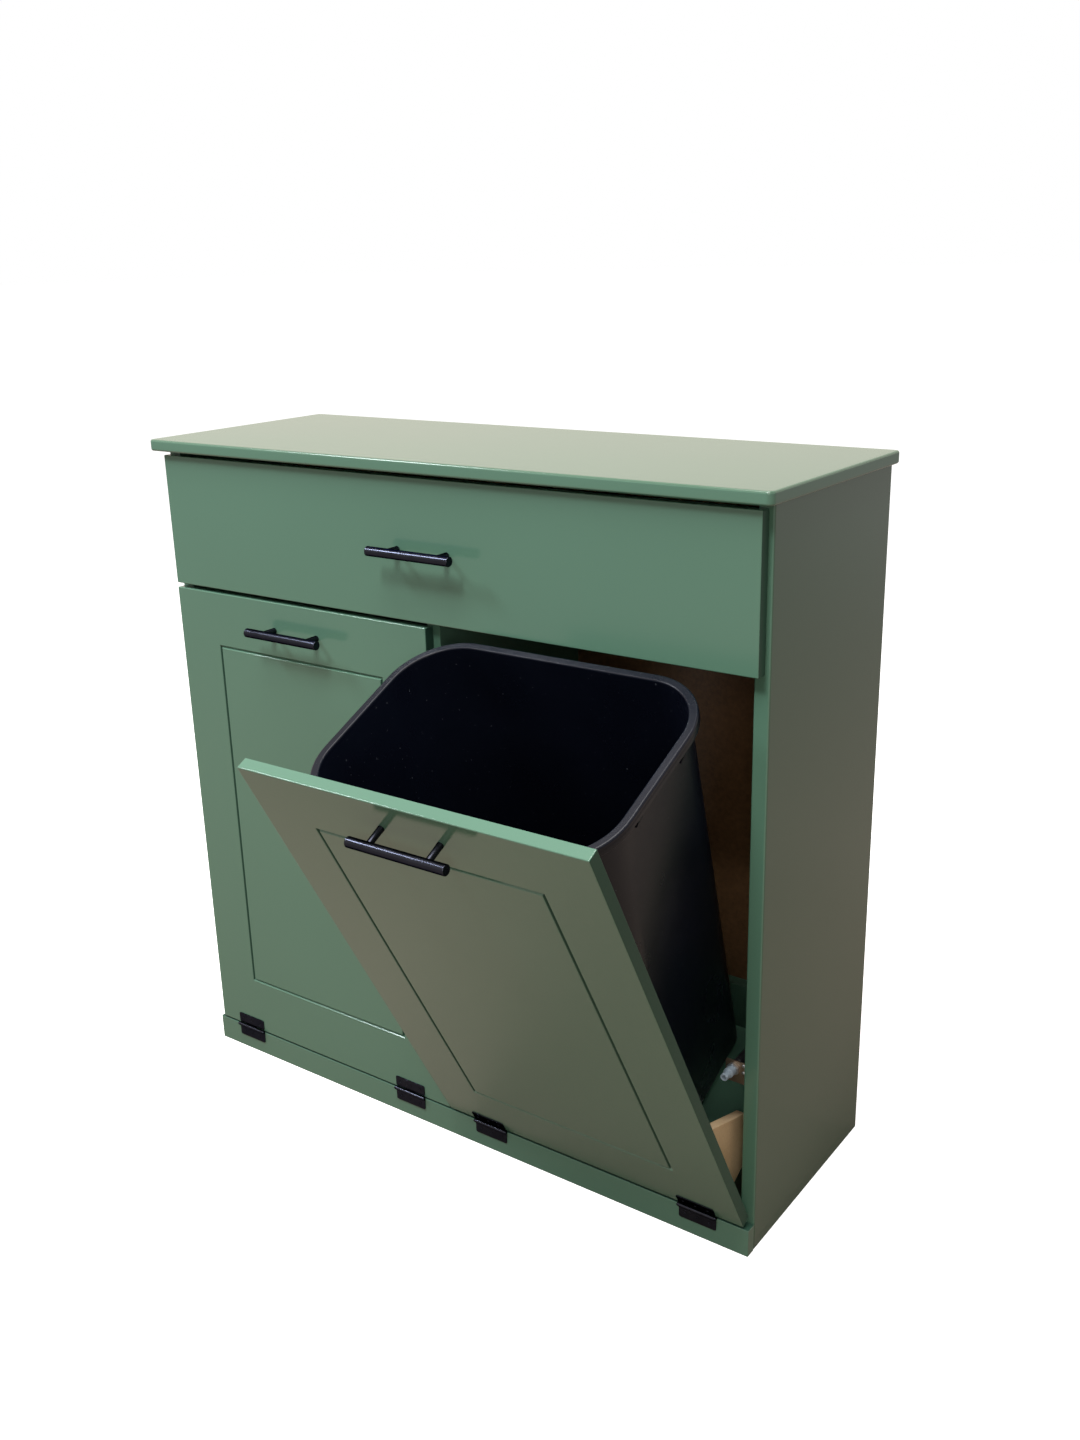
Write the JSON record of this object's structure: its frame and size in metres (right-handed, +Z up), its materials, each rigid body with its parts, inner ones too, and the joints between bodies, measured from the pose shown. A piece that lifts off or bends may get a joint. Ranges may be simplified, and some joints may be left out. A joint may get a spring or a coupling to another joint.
{
  "type": "tilt-out waste bin cabinet",
  "caption": "Freestanding painted cabinet with bottom-hinged tilt-out doors that carry waste bins on trays, a wide drawer on slides above them, bar pulls and an overhanging top",
  "frame": {"origin": "centre of the closed cabinet's footprint on the floor, on the underside of the centre divider", "axes": "+X to the right as seen from the front, +Y to the back, +Z up; the right front stands tilted open, the left front and the drawer are closed"},
  "size_m": [0.919, 0.6415, 0.91],
  "materials": {
    "green_paint": "board painted sage green, satin to glossy",
    "side_paint": "board painted dark sage green, satin",
    "hardboard": "thin brown hardboard, smooth",
    "raw_board": "bare board, unpainted",
    "black_metal": "satin black",
    "zinc_steel": "zinc plated",
    "bronze_plate": "yellow zinc plated sheet",
    "black_plastic": "moulded, slightly glossy",
    "pale_plastic": "moulded"
  },
  "bodies": {
    "cabinet": {"top_board": "green_paint", "left_side": "side_paint", "right_side": "side_paint", "centre_divider": "side_paint", "left_floor": "green_paint", "right_floor": "green_paint", "drawer_deck": "green_paint", "back_panel": "hardboard", "back_rail": "green_paint", "bottom_rail": "green_paint", "slide_cabinet_members": "zinc_steel", "hinge_lower_leaves": "black_metal", "hinge_pins": "black_metal", "hinge_lower_screws": "black_metal", "damper_brackets": "bronze_plate", "damper_rivets": "zinc_steel", "damper_bodies": "black_metal", "damper_collars": "pale_plastic", "damper_nuts": "zinc_steel", "damper_screws": "zinc_steel"},
    "drawer": {"drawer_front": "green_paint", "drawer_box_left": "raw_board", "drawer_box_right": "raw_board", "drawer_box_front": "raw_board", "drawer_box_back": "raw_board", "drawer_bottom": "raw_board", "slide_drawer_members": "zinc_steel", "drawer_pull_bar": "black_metal", "drawer_pull_posts": "black_metal", "drawer_pull_screws": "zinc_steel", "drawer_front_screws": "zinc_steel"},
    "slide_middle": {"slide_middle_members": "zinc_steel"},
    "left_front": {"left_door": "green_paint", "left_hinge_leaves": "black_metal", "left_hinge_screws": "black_metal", "left_pull_bar": "black_metal", "left_pull_posts": "black_metal", "left_pull_screws": "zinc_steel", "left_tray_bottom": "green_paint", "left_tray_brackets": "raw_board", "left_bin": "black_plastic"},
    "right_front": {"right_door": "green_paint", "right_hinge_leaves": "black_metal", "right_hinge_screws": "black_metal", "right_pull_bar": "black_metal", "right_pull_posts": "black_metal", "right_pull_screws": "zinc_steel", "right_tray_bottom": "green_paint", "right_tray_brackets": "raw_board", "right_bin": "black_plastic"},
    "left_plunger": {"left_damper_plunger": "pale_plastic"},
    "right_plunger": {"right_damper_plunger": "pale_plastic"}
  },
  "joints": [
    {"name": "drawer_slide", "type": "slide", "parent": "cabinet", "child": "drawer", "axis": [0, -1, 0], "range_m": [0, 0.24]},
    {"name": "slide_middle_travel", "type": "slide", "parent": "cabinet", "child": "slide_middle", "axis": [0, -1, 0], "range_m": [0, 0.12]},
    {"name": "left_front_tilt", "type": "hinge", "parent": "cabinet", "child": "left_front", "pos_m": [0, -0.1599, 0.038], "axis": [1, 0, 0], "range_deg": [0, 28]},
    {"name": "right_front_tilt", "type": "hinge", "parent": "cabinet", "child": "right_front", "pos_m": [0, -0.1599, 0.038], "axis": [1, 0, 0], "range_deg": [-28, 0]},
    {"name": "left_plunger_travel", "type": "slide", "parent": "cabinet", "child": "left_plunger", "axis": [0, 1, 0], "range_m": [-0.009, 0]},
    {"name": "right_plunger_travel", "type": "slide", "parent": "cabinet", "child": "right_plunger", "axis": [0, 1, 0], "range_m": [0, 0.009]}
  ],
  "couplings": [
    {"joint": "slide_middle_travel", "follows": "drawer_slide", "ratio": 0.5},
    {"joint": "left_plunger_travel", "follows": "left_front_tilt", "m_per_rad": -0.01841},
    {"joint": "right_plunger_travel", "follows": "right_front_tilt", "m_per_rad": -0.01841}
  ]
}
